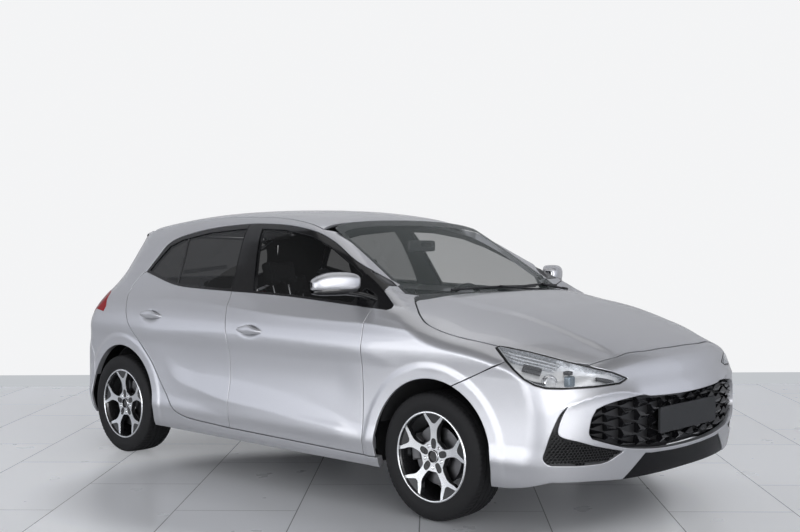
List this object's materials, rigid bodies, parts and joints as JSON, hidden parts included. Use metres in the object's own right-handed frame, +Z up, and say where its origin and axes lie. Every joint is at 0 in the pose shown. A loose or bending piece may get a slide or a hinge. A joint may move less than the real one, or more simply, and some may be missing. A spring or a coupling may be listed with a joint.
{
  "type": "hatchback car",
  "caption": "Small silver hatchback with opening doors, bonnet and tailgate, steered front wheels, alloy rims, cloth seats and a hollow cabin.",
  "frame": {"origin": "centre of the car's bounding box, on the ground under the tyres", "axes": "+X towards the nose, +Y to the car's left, +Z up"},
  "size_m": [4.1115, 2.08, 1.5018],
  "materials": {
    "body_paint": "metallic silver paint, clear coat",
    "structure": "primer and paint, satin",
    "glass_clear": "clear",
    "glass_dark": "tinted",
    "lamp_clear": "clear lens",
    "lamp_inside": "bright reflector in a black bezel",
    "lamp_red": "red lens",
    "grille_black": "gloss black",
    "trim_black": "grained black",
    "seat_cloth": "dark woven cloth",
    "rim_alloy": "machined face, black pockets",
    "tyre": "black rubber",
    "cast": "cast and stamped",
    "alloy_block": "cast alloy",
    "steel": "steel pipe"
  },
  "bodies": {
    "car": {"body_floor": "structure", "body_side_left": "body_paint", "body_side_right": "body_paint", "roof_panel": "body_paint", "fender_left": "body_paint", "fender_right": "body_paint", "front_bumper": "body_paint", "rear_bumper": "body_paint", "front_grilles": "grille_black", "headlamps": "lamp_inside", "headlamp_lenses": "lamp_clear", "tail_lamps": "lamp_red", "windscreen": "glass_clear", "cowl_and_wipers": "trim_black", "seats_front": "seat_cloth", "seat_rear": "seat_cloth", "dashboard": "trim_black", "engine_block": "alloy_block", "front_suspension": "cast", "rear_axle": "cast", "exhaust": "steel", "fuel_tank": "trim_black", "arch_liners": "trim_black"},
    "bonnet": {"bonnet": "body_paint"},
    "tailgate": {"tailgate": "body_paint", "tailgate_glass": "glass_dark"},
    "front_door_left": {"door_front_left": "body_paint", "glass_front_left": "glass_dark", "mirror_left": "body_paint"},
    "rear_door_left": {"door_rear_left": "body_paint", "glass_rear_left": "glass_dark"},
    "hub_left": {"knuckle_left": "cast"},
    "wheel_front_left": {"rim_front_left": "rim_alloy", "tyre_front_left": "tyre"},
    "wheel_rear_left": {"rim_rear_left": "rim_alloy", "tyre_rear_left": "tyre"},
    "front_door_right": {"door_front_right": "body_paint", "glass_front_right": "glass_dark", "mirror_right": "body_paint"},
    "rear_door_right": {"door_rear_right": "body_paint", "glass_rear_right": "glass_dark"},
    "hub_right": {"knuckle_right": "cast"},
    "wheel_front_right": {"rim_front_right": "rim_alloy", "tyre_front_right": "tyre"},
    "wheel_rear_right": {"rim_rear_right": "rim_alloy", "tyre_rear_right": "tyre"},
    "steering": {"steering_wheel": "trim_black"}
  },
  "joints": [
    {"name": "bonnet_hinge", "type": "hinge", "parent": "car", "child": "bonnet", "pos_m": [0.892, 0, 0.996], "axis": [0, -1, 0], "range_deg": [0, 50]},
    {"name": "tailgate_hinge", "type": "hinge", "parent": "car", "child": "tailgate", "pos_m": [-1.36, 0, 1.402], "axis": [0, 1, 0], "range_deg": [0, 75]},
    {"name": "front_door_hinge_left", "type": "hinge", "parent": "car", "child": "front_door_left", "pos_m": [0.7597, 0.881, 0.6], "axis": [0, 0, -1], "range_deg": [0, 65]},
    {"name": "rear_door_hinge_left", "type": "hinge", "parent": "car", "child": "rear_door_left", "pos_m": [-0.2903, 0.881, 0.6], "axis": [0, 0, -1], "range_deg": [0, 65]},
    {"name": "front_door_hinge_right", "type": "hinge", "parent": "car", "child": "front_door_right", "pos_m": [0.7597, -0.881, 0.6], "axis": [0, 0, 1], "range_deg": [0, 65]},
    {"name": "rear_door_hinge_right", "type": "hinge", "parent": "car", "child": "rear_door_right", "pos_m": [-0.2903, -0.881, 0.6], "axis": [0, 0, 1], "range_deg": [0, 65]},
    {"name": "steer_left", "type": "hinge", "parent": "car", "child": "hub_left", "pos_m": [1.1885, 0.72, 0.304], "axis": [0, 0, 1], "range_deg": [-32, 32]},
    {"name": "roll_front_left", "type": "hinge", "parent": "hub_left", "child": "wheel_front_left", "pos_m": [1.1885, 0.765, 0.304], "axis": [0, 1, 0], "continuous": true},
    {"name": "roll_rear_left", "type": "hinge", "parent": "car", "child": "wheel_rear_left", "pos_m": [-1.3815, 0.765, 0.304], "axis": [0, 1, 0], "continuous": true},
    {"name": "steer_right", "type": "hinge", "parent": "car", "child": "hub_right", "pos_m": [1.1885, -0.72, 0.304], "axis": [0, 0, 1], "range_deg": [-32, 32]},
    {"name": "roll_front_right", "type": "hinge", "parent": "hub_right", "child": "wheel_front_right", "pos_m": [1.1885, -0.765, 0.304], "axis": [0, 1, 0], "continuous": true},
    {"name": "roll_rear_right", "type": "hinge", "parent": "car", "child": "wheel_rear_right", "pos_m": [-1.3815, -0.765, 0.304], "axis": [0, 1, 0], "continuous": true},
    {"name": "steering_wheel_turn", "type": "hinge", "parent": "car", "child": "steering", "pos_m": [0.33, 0.36, 0.88], "axis": [-0.9135, 0, 0.4067], "range_deg": [-480, 480]}
  ],
  "couplings": [
    {"joint": "steer_right", "follows": "steer_left", "ratio": 1},
    {"joint": "steering_wheel_turn", "follows": "steer_left", "ratio": 15}
  ]
}
